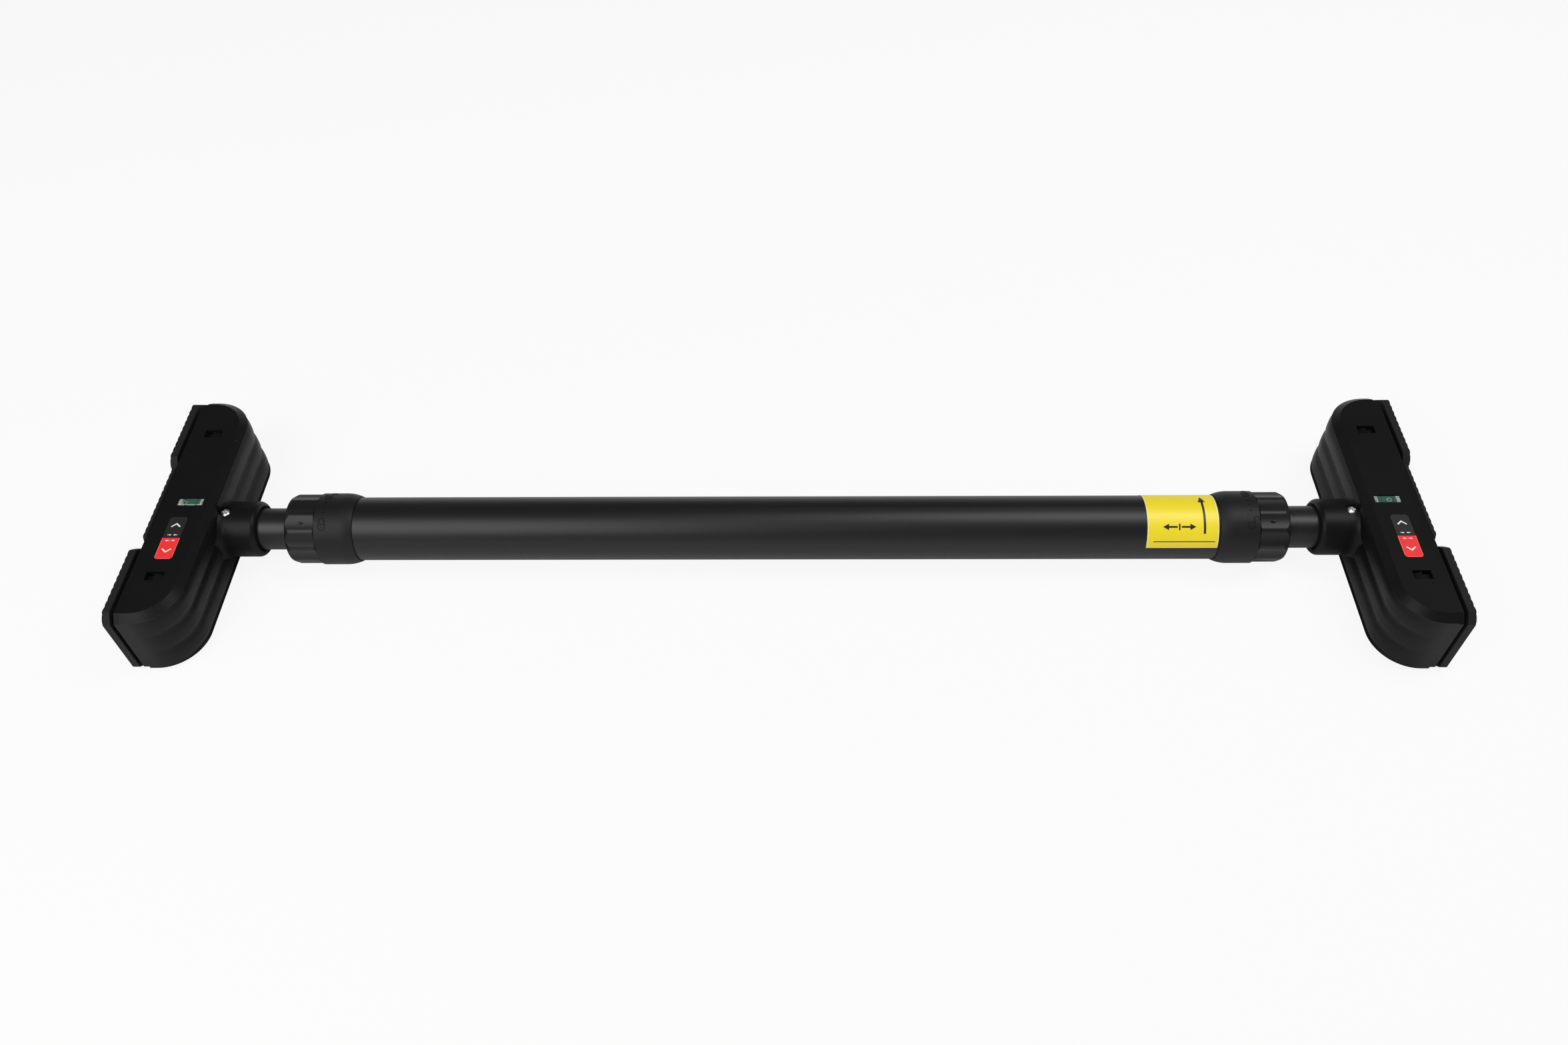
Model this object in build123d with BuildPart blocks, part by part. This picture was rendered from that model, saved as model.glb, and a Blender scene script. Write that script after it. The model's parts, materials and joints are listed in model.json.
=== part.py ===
import os
from math import cos, pi, radians, sin

from build123d import *

os.makedirs("parts", exist_ok=True)

# A telescopic doorway bar: X runs along the bar, Y along the end pads, Z up from the pads' backs.
# Both ends are alike, so each end piece is drawn at +X and mirrored for the left end.

# Overall sizes, in millimetres
span = 750.4  # between the two walls
pad_length = 172.0  # end pad, along Y
pad_thick = 51.2  # end pad, along Z
grip_d = 38.0  # main tube

# Walls and clearances
tube_wall = 1.6
nut_wall = 4.9  # between the main tube's bore and the stem, which sets the stem's size
stem_wall = 2.2
shell = 3.0  # moulded walls of the end housing
seat_gap = 0.05  # radial, round pieces fixed in one another
run_gap = 0.05  # radial, round pieces that turn or slide in one another
free_gap = 0.5  # pieces that pass without touching
panel_gap = 0.2  # flat pieces fitted into the housing

# Screw drive
travel_out = 85.0  # each end, from the length drawn
travel_in = 15.0
parked_gap = 4.0  # boss to lock ring, screwed fully in
nut_length = 30.0
stop_length = 5.0
stop_side = 1.9  # stop ring to the main tube's bore
stop_clear = 1.0  # stop ring to nut, screwed fully out

# Lock: sleeve, collet, ring and guide bush
sleeve_length = 22.0
sleeve_flat = 13.5  # cylindrical part, before the shoulder curves down to the tube
sleeve_lip = 0.6  # height of the shoulder's edge above the tube
sleeve_overlap = 15.0  # length of tube inside the sleeve
spigot_length = 11.8  # threaded nose of the sleeve, inside the ring
spigot_wall = 2.45
collet_wall = 3.0
collet_flange = 4.0
collet_nose = 3.4
collet_nose_drop = 1.5
collet_slits = 4
slit_width = 1.6
ring_length = 17.3
ring_thick = 3.1  # from the bore over the nose to the ridges
ring_proud = 0.1  # ridges above the sleeve
ring_gap = 0.8
ring_bevel = 1.3
ring_bevel_length = 2.6
ring_wall = 2.4  # end wall, round the stem
flute_count = 12
flute_hollow = 0.3  # depth of a flute below the flat between two ridges
flute_edge = 0.7
bush_length = 10.0
bush_gap = 1.0  # beside the bush, to nut and collet

# End housing
foot_thick = 4.5
foot_groove = 2.2  # open groove between foot and flange
flange_thick = 3.3  # of the wall plate, on the housing's mouth
flange_step = 0.25  # flange set in from the housing's outline
housing_depth = 29.2
corner_r = 25.0
edge_chamfer = 4.6
ripple_count = 3
ripple_depth = 1.4
brim = 0.5  # inset of the sloping edge's rim
face_past = 1.0  # sloping edge drawn past the face, before the face is cut
brim_rise = 0.8  # outer valley to the rim above it
boss_wall = 4.3
boss_length = 21.7
boss_round = 3.5
flare_rise = 4.0  # boss root above the boss
flare_reach = 6.3  # along the bar
flare_sink = 0.75  # flare's end behind the ripple valleys
bore_bevel = 1.8
socket_length = 12.0  # of the boss inside the housing
rib_thick = 2.4
rib_clear = 5.0  # rib to the thrust plate or the snap hook beside it

# Windows in the pad faces
snap_slot_x = 10.4
snap_slot_y = 6.1
snap_inset = 11.2  # slot centre to the housing's mouth
snap_margin = 30.5  # slot centre to the pad's end
level_window_x = 15.5
level_window_y = 5.7
level_inset = 14.2

# Screws at the boss root
screw_inset = 2.3  # screw axis to the ripple crest
screw_head_d = 6.6
screw_head_h = 2.4
screw_seat_wall = 1.4  # boss wall left under the head
screw_shank_d = 3.8
screw_shank_past = 0.4  # shank end past the stem's wall

# Wall plate and what it carries
panel_thick = 4.0
thrust_thick = 3.0
thrust_y = 40.0
thrust_clear = 1.2  # thrust plate to the level above it
thrust_corner = 4.0
pedestal_margin = 1.0
neck_inset = 8.0  # foot outline to the neck under it
hook_thick = 2.0
hook_side_gap = 0.35
hook_rise = 2.2  # barb, into the slot
hook_reach = 9.0

# Rubber
foot_chamfer = 5.0
foot_length = 54.4
middle_gap = 3.6  # middle pad to each foot
middle_chamfer = 2.0
tooth_pitch = 4.5
tooth_height = 0.5
tooth_flat = 0.4  # share of the pitch that is flat on top
stud_d = 5.0
stud_past = 1.5
stud_offsets = (-4.4, 11.0)  # studs of a foot, from the snap slot beside them

# Level
vial_margin_x = 1.0
vial_margin_y = 1.2
vial_height = 5.4  # under the housing's face wall
vial_drop = 0.8  # pad face down to the part of the vial that fills the window
vial_roof = 0.6  # over the bore
vial_bore_d = 3.8
plug_length = 2.2
bubble_d = 2.2
bubble_length = 4.6

# Labels
label_thick = 0.15
turn_label_x = 10.3
turn_label_y = 31.0
turn_label_corner = 1.8
turn_label_inset = 11.8  # label centre to the housing's mouth
wrap_length = 41.5
wrap_gap = 1.1  # label to sleeve
wrap_start = 18.0  # degrees round the tube, from +Y towards +Z
wrap_arc = 151.0

# Places along X, worked out from the wall inwards
axis_z = pad_thick / 2
wall_x = span / 2
foot_x = wall_x - foot_thick
flange_x = foot_x - foot_groove
mouth_x = flange_x - flange_thick
crest_x = mouth_x - housing_depth
boss_x = crest_x - boss_length
ring_x = boss_x - parked_gap - travel_in
ring_inner_x = ring_x - ring_length
sleeve_x = ring_inner_x - ring_gap
sleeve_inner_x = sleeve_x - sleeve_length
tube_end_x = sleeve_inner_x + sleeve_overlap
spigot_x = sleeve_x + spigot_length
collet_inner_x = tube_end_x - collet_flange
bush_x = collet_inner_x - bush_gap
bush_inner_x = bush_x - bush_length
nut_x = bush_inner_x - bush_gap
nut_inner_x = nut_x - nut_length
stem_inner_x = nut_inner_x - stop_clear - travel_out - stop_length
panel_x = mouth_x - panel_thick
socket_x = crest_x + ripple_depth + shell + socket_length
thrust_x = socket_x + free_gap
screw_x = crest_x - screw_inset
corner_x = crest_x + corner_r

# Radii about the bar's axis, from the grip inwards to the stem and out again to the lock ring
grip_r = grip_d / 2
bore_r = grip_r - tube_wall
stem_r = bore_r - nut_wall
stop_r = bore_r - stop_side
collet_r = stem_r + collet_wall
spigot_r = collet_r + seat_gap + spigot_wall
ring_r = spigot_r + free_gap + ring_thick
sleeve_r = ring_r - ring_proud
boss_r = stem_r + boss_wall

# Half sizes of the end pad and places along it
half_thick = pad_thick / 2
half_length = pad_length / 2
inner_half = half_thick - shell
ripple_pitch = (pad_thick - 2 * edge_chamfer) / ripple_count
screw_seat = stem_r + seat_gap + screw_seat_wall
corner_y = half_length - corner_r
foot_start = half_length - foot_length
middle_half = foot_start - middle_gap
snap_place = half_length - snap_margin
turn_label_place = -snap_place / 2
stud_ys = [snap_place + offset for offset in stud_offsets]
rib_ys = (thrust_y / 2 + rib_clear, snap_place + rib_clear)
level_x = mouth_x - level_inset
vial_half_x = level_window_x / 2 + vial_margin_x
vial_half_y = level_window_y / 2 + vial_margin_y
vial_floor = inner_half - vial_height
thrust_half_z = vial_floor - thrust_clear

bar_axis = Axis((0, 0, axis_z), (1, 0, 0))
bar_plane = Plane(origin=(0, 0, axis_z), x_dir=(1, 0, 0), z_dir=(0, -1, 0))


# Plane across the pad at a height above the bar's axis
def level_plane(height):
    return Plane.XY.offset(axis_z + height)


# Plane square to the bar at a place along it, with the bar's axis as its origin
def cross_plane(x):
    return Plane(origin=(x, 0, axis_z), x_dir=(0, 1, 0), z_dir=(1, 0, 0))


# Closed profile of points (place along the bar, radius), turned about the bar's axis
def turn(points, mode=Mode.ADD):
    with BuildSketch(bar_plane) as profile:
        with BuildLine():
            Polyline(*points, close=True)
        make_face()
    revolve(profile.sketch, axis=bar_axis, mode=mode)


# Box between two corners given as (place along the bar, place along the pad, height above the axis)
def block(low, high, mode=Mode.ADD):
    size = [b - a for a, b in zip(low, high)]
    with Locations((low[0], low[1], axis_z + low[2])):
        Box(*size, align=(Align.MIN, Align.MIN, Align.MIN), mode=mode)


# Rubber as thick as the pad, with flat-topped teeth along its wall side
def toothed_block(inner_x, outer_x, start_y, end_y):
    count = round(abs(end_y - start_y) / tooth_pitch)
    pitch = (end_y - start_y) / count
    teeth = [(inner_x, end_y), (inner_x, start_y)]
    for tooth in range(count):
        middle = start_y + (tooth + 0.5) * pitch
        teeth.append((outer_x - tooth_height, start_y + tooth * pitch))
        teeth.append((outer_x, middle - tooth_flat / 2 * pitch))
        teeth.append((outer_x, middle + tooth_flat / 2 * pitch))
    teeth.append((outer_x - tooth_height, end_y))
    with BuildSketch(level_plane(-half_thick)) as plan:
        with BuildLine():
            Polyline(*teeth, close=True)
        make_face()
    extrude(plan.sketch, amount=pad_thick)


def save(part, name):
    part.label = name
    export_step(part, f"parts/{name}.step")


# Writes an end piece at +X and its mirror image at the left end
def save_pair(piece, name):
    save(piece.part, f"right_{name}")
    save(mirror(piece.part, about=Plane.YZ), f"left_{name}")


# Main tube
with BuildPart() as main_tube:
    turn([(-tube_end_x, bore_r), (tube_end_x, bore_r), (tube_end_x, grip_r), (-tube_end_x, grip_r)])
save(main_tube.part, "main_tube")

# Direction label, wrapped on the tube beside the right sleeve
wrap_x = sleeve_inner_x - wrap_gap
wrap_angle = radians(wrap_start)
wrap_plane = Plane(
    origin=(0, 0, axis_z),
    x_dir=(1, 0, 0),
    z_dir=(0, -sin(wrap_angle), cos(wrap_angle)),
)
with BuildPart() as direction_label:
    with BuildSketch(wrap_plane):
        with Locations((wrap_x - wrap_length / 2, grip_r + seat_gap + label_thick / 2)):
            Rectangle(wrap_length, label_thick)
    revolve(axis=bar_axis, revolution_arc=wrap_arc)
save(direction_label.part, "direction_label")

# Thread nut, fixed in the main tube
with BuildPart() as thread_nut:
    turn(
        [
            (nut_inner_x, stem_r + run_gap),
            (nut_x, stem_r + run_gap),
            (nut_x, bore_r - seat_gap),
            (nut_inner_x, bore_r - seat_gap),
        ]
    )
save_pair(thread_nut, "thread_nut")

# Guide bush, free to turn in the main tube with the stem
with BuildPart() as guide_bush:
    turn(
        [
            (bush_inner_x, stem_r + run_gap),
            (bush_x, stem_r + run_gap),
            (bush_x, bore_r - run_gap),
            (bush_inner_x, bore_r - run_gap),
        ]
    )
save_pair(guide_bush, "guide_bush")

# Sleeve: collar over the tube's end, with a shoulder that curves down and a nose inside the ring
collet_seat_r = collet_r + seat_gap
with BuildPart() as sleeve:
    with BuildSketch(bar_plane):
        with BuildLine():
            flat = Line((sleeve_x, sleeve_r), (sleeve_x - sleeve_flat, sleeve_r))
            shoulder = TangentArc(flat @ 1, (sleeve_inner_x, grip_r + sleeve_lip), tangent=flat % 1)
            Polyline(
                shoulder @ 1,
                (sleeve_inner_x, grip_r + seat_gap),
                (tube_end_x, grip_r + seat_gap),
                (tube_end_x, collet_seat_r),
                (spigot_x, collet_seat_r),
                (spigot_x, spigot_r),
                (sleeve_x, spigot_r),
                flat @ 0,
            )
        make_face()
    revolve(axis=bar_axis)
save_pair(sleeve, "sleeve")

# Collet: flange held by the tube's end, split jaws with a tapered nose
collet_taper_x = spigot_x - free_gap
collet_x = collet_taper_x + collet_nose
slit_start_x = sleeve_x - ring_gap
with BuildPart() as collet:
    turn(
        [
            (collet_inner_x, stem_r + run_gap),
            (collet_x, stem_r + run_gap),
            (collet_x, collet_r - collet_nose_drop),
            (collet_taper_x, collet_r),
            (tube_end_x, collet_r),
            (tube_end_x, bore_r - seat_gap),
            (collet_inner_x, bore_r - seat_gap),
        ]
    )
    with BuildSketch(cross_plane(slit_start_x)):
        with PolarLocations(collet_r, collet_slits):
            Rectangle(2 * collet_r, slit_width)
    extrude(amount=collet_x - slit_start_x, mode=Mode.SUBTRACT)
save_pair(collet, "collet")

# Lock ring: fluted outside, over the sleeve's nose, with a cone that squeezes the collet
flute_half = pi / flute_count
flute_flat = ring_r * cos(flute_half)
flute_r = (flute_hollow**2 + (ring_r * sin(flute_half)) ** 2) / (2 * flute_hollow)
cone_start_x = spigot_x + free_gap
cone_end_x = ring_x - ring_wall
cone_start_r = collet_r + free_gap
cone_end_r = stem_r + 2 * free_gap
ring_bore_r = spigot_r + free_gap
with BuildPart() as lock_ring:
    turn(
        [
            (ring_inner_x, ring_bore_r),
            (cone_start_x, ring_bore_r),
            (cone_start_x, cone_start_r),
            (cone_end_x, cone_end_r),
            (ring_x, cone_end_r),
            (ring_x, ring_r - ring_bevel),
            (ring_x - ring_bevel_length, ring_r),
            (ring_inner_x, ring_r),
        ]
    )
    with BuildSketch(cross_plane(ring_inner_x)):
        with PolarLocations(flute_flat - flute_hollow + flute_r, flute_count):
            Circle(flute_r)
    extrude(amount=ring_length, mode=Mode.SUBTRACT)
    ridges = lock_ring.edges().filter_by(Axis.X).group_by(SortBy.LENGTH)[-1]
    fillet(ridges, flute_edge)
save_pair(lock_ring, "lock_ring")

# Stem tube, with a hole for each boss screw
stem_end_x = thrust_x
with BuildPart() as stem_tube:
    turn(
        [
            (stem_inner_x, stem_r - stem_wall),
            (stem_end_x, stem_r - stem_wall),
            (stem_end_x, stem_r),
            (stem_inner_x, stem_r),
        ]
    )
    with BuildSketch(level_plane(0)):
        with Locations((screw_x, 0)):
            Circle(screw_shank_d / 2 + seat_gap)
    extrude(amount=2 * stem_r, both=True, mode=Mode.SUBTRACT)
save_pair(stem_tube, "stem_tube")

# Stop ring on the stem's inner end
with BuildPart() as stop_ring:
    stop_x = stem_inner_x + stop_length
    turn(
        [
            (stem_inner_x, stem_r + seat_gap),
            (stop_x, stem_r + seat_gap),
            (stop_x, stop_r),
            (stem_inner_x, stop_r),
        ]
    )
save_pair(stop_ring, "stop_ring")

# End housing: rippled shell open to the wall, with a flared boss, windows and inner ribs
ripple_steps = (-1.0, -0.75, -0.45, 0.0, 0.45, 0.75)
fade_steps = 6
fade_angles = [step * pi / 2 / fade_steps for step in range(fade_steps + 1)]
valley_z = half_thick - edge_chamfer
brim_z = valley_z + brim_rise
face_r = corner_r - edge_chamfer
face_z = half_thick + face_past
cavity_x = crest_x + ripple_depth + shell
snap_x = mouth_x - snap_inset
flare_x = crest_x + ripple_depth + flare_sink
flare_r = boss_r + min(flare_rise, half_thick - boss_r)


# Upright plane out from the middle of one of the pad's round corners, at an angle from the pad's end
def corner_plane(end, angle):
    outwards = (-sin(angle), end * cos(angle), 0)
    return Plane((corner_x, end * corner_y, axis_z), x_dir=outwards, z_dir=(outwards[1], -outwards[0], 0))


# Radius at which the sloping edge, drawn on past the pad's face, reaches its end
def edge_end(rim_r):
    return face_r - face_past * (rim_r - face_r) / (half_thick - brim_z)


# Section of the wall from an inner radius outwards, with the ripples at a share of their depth
def wall_section(plane, inner_r, share):
    rim_r = corner_r - share * brim
    wave = []
    for ripple in range(ripple_count):
        middle = (ripple - (ripple_count - 1) / 2) * ripple_pitch
        for step in ripple_steps:
            inset = share * ripple_depth * (3 * step**4 - 2 * step**6)
            wave.append((corner_r - inset, middle + step * ripple_pitch / 2))
    wave.append((corner_r - share * ripple_depth, valley_z))
    with BuildSketch(plane) as section:
        with BuildLine():
            back = Polyline((inner_r, -face_z), (edge_end(rim_r), -face_z), (rim_r, -brim_z), wave[0])
            Spline(*wave, tangents=((0, 1), (0, 1)))
            front = Polyline(wave[-1], (rim_r, brim_z), (edge_end(rim_r), face_z), (inner_r, face_z))
            Line(front @ 1, back @ 0)
        make_face()
    return section.sketch


with BuildPart() as end_housing:
    # Rippled side; round each corner the ripples fade out towards the pad's plain ends
    extrude(wall_section(corner_plane(-1, pi / 2), 0, 1), amount=2 * corner_y)
    for end in (-1, 1):
        loft([wall_section(corner_plane(end, angle), face_r / 4, sin(angle) ** 2) for angle in fade_angles])
        with Locations((corner_x, end * corner_y, axis_z)):
            Box(face_r, face_r, 2 * face_z + face_past)
    edge_y = corner_y + edge_end(corner_r)
    with BuildSketch(cross_plane(corner_x)):
        with BuildLine():
            Polyline(
                (edge_y, face_z),
                (half_length, brim_z),
                (half_length, -brim_z),
                (edge_y, -face_z),
                (-edge_y, -face_z),
                (-half_length, -brim_z),
                (-half_length, brim_z),
                (-edge_y, face_z),
                close=True,
            )
        make_face()
    extrude(amount=mouth_x - corner_x)
    # Front and back faces cut flat
    block((crest_x, -half_length, -half_thick), (mouth_x, half_length, half_thick), mode=Mode.INTERSECT)
    # Boss with a rounded end, flaring into the rippled wall
    with BuildSketch(bar_plane):
        with BuildLine():
            face = Line((boss_x, 0), (boss_x, boss_r - boss_round))
            end_round = TangentArc(face @ 1, (boss_x + boss_round, boss_r), tangent=face % 1)
            barrel = Line(end_round @ 1, (flare_x - flare_reach, boss_r))
            flare = TangentArc(barrel @ 1, (flare_x, flare_r), tangent=barrel % 1)
            Polyline(flare @ 1, (cavity_x, flare_r), (cavity_x, 0), face @ 0)
        make_face()
    revolve(axis=bar_axis)
    # Hollow inside, open at the mouth
    with BuildSketch(level_plane(-inner_half)) as hollow:
        with Locations(((cavity_x + mouth_x + shell) / 2, 0)):
            Rectangle(mouth_x + shell - cavity_x, 2 * (half_length - shell))
        fillet(hollow.vertices().group_by(Axis.X)[0], corner_r - shell)
    extrude(amount=2 * inner_half, mode=Mode.SUBTRACT)
    for place in rib_ys:
        for side in (-1, 1):
            rib_y = side * place - rib_thick / 2
            block((cavity_x - shell / 2, rib_y, -inner_half), (panel_x, rib_y + rib_thick, inner_half))
    turn([(cavity_x - shell / 2, 0), (socket_x, 0), (socket_x, boss_r), (cavity_x - shell / 2, boss_r)])
    block(
        (level_x - vial_half_x - panel_gap, -vial_half_y - panel_gap, vial_floor - panel_gap),
        (level_x + vial_half_x + panel_gap, vial_half_y + panel_gap, inner_half),
        mode=Mode.SUBTRACT,
    )
    # Bore for the stem, with a wide bevel at its mouth
    bored_r = stem_r + seat_gap
    turn(
        [
            (boss_x, 0),
            (boss_x, bored_r + bore_bevel),
            (boss_x + bore_bevel, bored_r),
            (socket_x, bored_r),
            (socket_x, 0),
        ],
        mode=Mode.SUBTRACT,
    )
    # Screw wells, snap slots and the level's window
    for side in (-1, 1):
        with BuildSketch(level_plane(side * screw_seat)):
            with Locations((screw_x, 0)):
                Circle(screw_head_d / 2 + free_gap)
        extrude(amount=side * (half_thick - screw_seat), mode=Mode.SUBTRACT)
        with BuildSketch(level_plane(0)):
            with Locations((screw_x, 0)):
                Circle(screw_shank_d / 2 + seat_gap)
        extrude(amount=side * half_thick, mode=Mode.SUBTRACT)
        with BuildSketch(level_plane(side * inner_half)):
            with Locations((snap_x, snap_place), (snap_x, -snap_place)):
                Rectangle(snap_slot_x, snap_slot_y)
        extrude(amount=side * shell, mode=Mode.SUBTRACT)
    with BuildSketch(level_plane(inner_half)):
        with Locations((level_x, 0)):
            Rectangle(level_window_x, level_window_y)
    extrude(amount=shell, mode=Mode.SUBTRACT)
save_pair(end_housing, "end_housing")

# Boss screws, front and back
with BuildPart() as boss_screws:
    for side in (-1, 1):
        with BuildSketch(level_plane(side * screw_seat)):
            with Locations((screw_x, 0)):
                Circle(screw_head_d / 2)
        extrude(amount=side * screw_head_h)
        with BuildSketch(level_plane(side * screw_seat)):
            with Locations((screw_x, 0)):
                Circle(screw_shank_d / 2)
        extrude(amount=-side * (screw_seat - stem_r + stem_wall + screw_shank_past))
    crowns = boss_screws.edges().filter_by(GeomType.CIRCLE).sort_by(Axis.Z)
    chamfer([crowns[0], crowns[-1]], screw_head_h / 2)
save_pair(boss_screws, "boss_screws")

# Thrust plate between the stem's end and the wall plate
with BuildPart() as thrust_plate:
    with BuildSketch(cross_plane(thrust_x)):
        RectangleRounded(thrust_y, 2 * thrust_half_z, thrust_corner)
    extrude(amount=thrust_thick)
save_pair(thrust_plate, "thrust_plate")

# Wall plate: panel in the mouth, flange on its edge, pedestal behind the thrust plate, necks for the feet, snap hooks
flange_y = half_length - flange_step
flange_z = half_thick - flange_step
panel_half_y = half_length - shell - panel_gap
panel_half_z = inner_half - panel_gap
pedestal_y = thrust_y / 2 - pedestal_margin
pedestal_z = thrust_half_z - pedestal_margin
neck_start = foot_start + neck_inset
neck_end = half_length - neck_inset
neck_half_z = half_thick - neck_inset
hook_half_y = snap_slot_y / 2 - hook_side_gap
hook_x = snap_x + snap_slot_x / 2 - hook_reach
with BuildPart() as wall_plate:
    block((panel_x, -panel_half_y, -panel_half_z), (mouth_x, panel_half_y, panel_half_z))
    block((thrust_x + thrust_thick, -pedestal_y, -pedestal_z), (panel_x, pedestal_y, pedestal_z))
    with BuildSketch(cross_plane(mouth_x)) as flange:
        Rectangle(2 * flange_y, 2 * flange_z)
        chamfer(flange.vertices(), edge_chamfer)
    extrude(amount=flange_thick)
    for end in (-1, 1):
        with BuildSketch(cross_plane(flange_x)):
            with Locations((end * (neck_start + neck_end) / 2, 0)):
                RectangleRounded(neck_end - neck_start, 2 * neck_half_z, thrust_corner)
        extrude(amount=foot_groove)
        for side in (-1, 1):
            with BuildSketch(Plane.XZ.offset(-end * snap_place - hook_half_y)):
                with BuildLine():
                    Polyline(
                        (panel_x, axis_z + side * (panel_half_z - hook_thick)),
                        (panel_x, axis_z + side * panel_half_z),
                        (hook_x + 2 * hook_rise, axis_z + side * panel_half_z),
                        (hook_x + 2 * hook_rise, axis_z + side * (panel_half_z + hook_rise)),
                        (hook_x, axis_z + side * panel_half_z),
                        (hook_x, axis_z + side * (panel_half_z - hook_thick)),
                        close=True,
                    )
                make_face()
            extrude(amount=2 * hook_half_y)
        with BuildSketch(cross_plane(panel_x)):
            with Locations(*[(end * y, 0) for y in stud_ys]):
                Circle(stud_d / 2 + seat_gap)
        extrude(amount=foot_x - panel_x, mode=Mode.SUBTRACT)
save_pair(wall_plate, "wall_plate")


# Rubber foot at one end of the pad, with studs through the wall plate
def build_foot(end):
    with BuildPart() as foot:
        toothed_block(foot_x, wall_x, end * foot_start, end * half_length)
        with BuildSketch(cross_plane(foot_x)) as outline:
            with Locations((end * (foot_start + half_length) / 2, 0)):
                Rectangle(half_length - foot_start, pad_thick)
            chamfer(outline.vertices(), foot_chamfer)
        extrude(amount=foot_thick, mode=Mode.INTERSECT)
        with BuildSketch(cross_plane(foot_x)):
            with Locations(*[(end * y, 0) for y in stud_ys]):
                Circle(stud_d / 2)
        extrude(amount=-(foot_x - panel_x + stud_past))
    return foot


save_pair(build_foot(1), "upper_foot")
save_pair(build_foot(-1), "lower_foot")

# Middle pad, on the wall plate between the feet
with BuildPart() as middle_pad:
    toothed_block(flange_x, foot_x, -middle_half, middle_half)
    with BuildSketch(cross_plane(flange_x)) as middle_outline:
        Rectangle(2 * middle_half, pad_thick)
        chamfer(middle_outline.vertices(), middle_chamfer)
    extrude(amount=foot_groove, mode=Mode.INTERSECT)
save_pair(middle_pad, "middle_pad")

# Level: clear block that fills the window, bored along X, with fluid and a plug at each end of the bore
vial_bore_r = vial_bore_d / 2
vial_top = half_thick - vial_drop
vial_axis_z = vial_top - vial_roof - vial_bore_r
lens_half_x = level_window_x / 2 - panel_gap
lens_half_y = level_window_y / 2 - panel_gap
fluid_half_x = lens_half_x - plug_length
with BuildPart() as level_vial:
    block(
        (level_x - vial_half_x, -vial_half_y, vial_floor),
        (level_x + vial_half_x, vial_half_y, inner_half),
    )
    block((level_x - lens_half_x, -lens_half_y, vial_floor), (level_x + lens_half_x, lens_half_y, vial_top))
    with BuildSketch(cross_plane(level_x)):
        with Locations((0, vial_axis_z)):
            Circle(vial_bore_r)
    extrude(amount=lens_half_x, both=True, mode=Mode.SUBTRACT)
save_pair(level_vial, "level_vial")

with BuildPart() as level_fluid:
    with BuildSketch(cross_plane(level_x)):
        with Locations((0, vial_axis_z)):
            Circle(vial_bore_r - seat_gap)
    extrude(amount=fluid_half_x, both=True)
    with BuildSketch(cross_plane(level_x)):
        with Locations((0, vial_axis_z + vial_bore_r - bubble_d / 2)):
            Circle(bubble_d / 2)
    extrude(amount=bubble_length / 2, both=True, mode=Mode.SUBTRACT)
save_pair(level_fluid, "level_fluid")

with BuildPart() as vial_plugs:
    for end in (-1, 1):
        with BuildSketch(cross_plane(level_x + end * fluid_half_x)):
            with Locations((0, vial_axis_z)):
                Circle(vial_bore_r - seat_gap)
        extrude(amount=end * plug_length)
save_pair(vial_plugs, "vial_plugs")

# Turn label on the front face
with BuildPart() as turn_label:
    with BuildSketch(level_plane(half_thick)):
        with Locations((mouth_x - turn_label_inset, turn_label_place)):
            RectangleRounded(turn_label_x, turn_label_y, turn_label_corner)
    extrude(amount=label_thick)
save_pair(turn_label, "turn_label")
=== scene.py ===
import json
import math

import bmesh
import bpy
import numpy as np
from mathutils import Matrix, Vector


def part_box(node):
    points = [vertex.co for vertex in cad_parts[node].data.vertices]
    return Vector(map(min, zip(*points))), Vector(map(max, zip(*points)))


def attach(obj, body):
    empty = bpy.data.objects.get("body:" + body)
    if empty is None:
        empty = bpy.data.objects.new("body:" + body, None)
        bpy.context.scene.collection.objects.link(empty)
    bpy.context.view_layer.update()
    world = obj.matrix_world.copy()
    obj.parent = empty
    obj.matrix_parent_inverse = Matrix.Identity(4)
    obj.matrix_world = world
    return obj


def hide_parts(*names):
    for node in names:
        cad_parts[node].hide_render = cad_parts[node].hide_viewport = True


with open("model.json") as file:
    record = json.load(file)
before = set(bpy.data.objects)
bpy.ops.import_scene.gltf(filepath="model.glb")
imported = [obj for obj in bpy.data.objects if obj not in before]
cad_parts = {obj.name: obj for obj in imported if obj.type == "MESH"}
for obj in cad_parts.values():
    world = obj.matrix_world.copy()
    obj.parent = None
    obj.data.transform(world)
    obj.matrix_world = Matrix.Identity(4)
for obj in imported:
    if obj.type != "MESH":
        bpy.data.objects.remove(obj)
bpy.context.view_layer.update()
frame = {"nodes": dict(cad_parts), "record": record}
nodes = frame["nodes"]
ends = {"left": -1, "right": 1}  # which way along X
print("frame loaded:", len(nodes), "nodes")


# lowest and highest corner of a CAD node, in millimetres
def corners(node):
    low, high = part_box(node)
    return np.array(low) * 1000, np.array(high) * 1000


tubeLow, tubeHigh = corners("main_tube")
axisZ = (tubeLow[2] + tubeHigh[2]) / 2
gripRadius = (tubeHigh[2] - tubeLow[2]) / 2


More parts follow.
